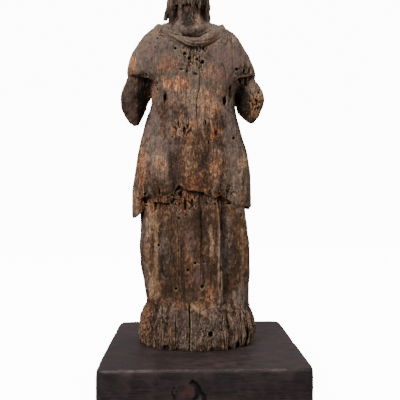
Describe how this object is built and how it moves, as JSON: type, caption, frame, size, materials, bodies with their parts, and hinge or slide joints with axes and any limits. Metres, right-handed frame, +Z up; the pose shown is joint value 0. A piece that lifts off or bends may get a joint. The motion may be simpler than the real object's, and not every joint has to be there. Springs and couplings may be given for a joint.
{
  "type": "carved wooden devotional figure",
  "caption": "Worn carved wooden saint in tunic and long robe, forearms lost, standing on a plain dark block plinth.",
  "frame": {"origin": "centre of the plinth's underside", "axes": "+Z up, the figure looks towards -Y and shows its back towards +Y, its left side is towards +X"},
  "size_m": [0.266, 0.255, 0.6287],
  "materials": {
    "worn_carved_wood": "old dry worm-eaten wood with remains of paint, matt",
    "dark_stained_wood": "dark stained and waxed, satin"
  },
  "bodies": {
    "root": {"figure": "worn_carved_wood", "plinth": "dark_stained_wood"}
  },
  "joints": []
}
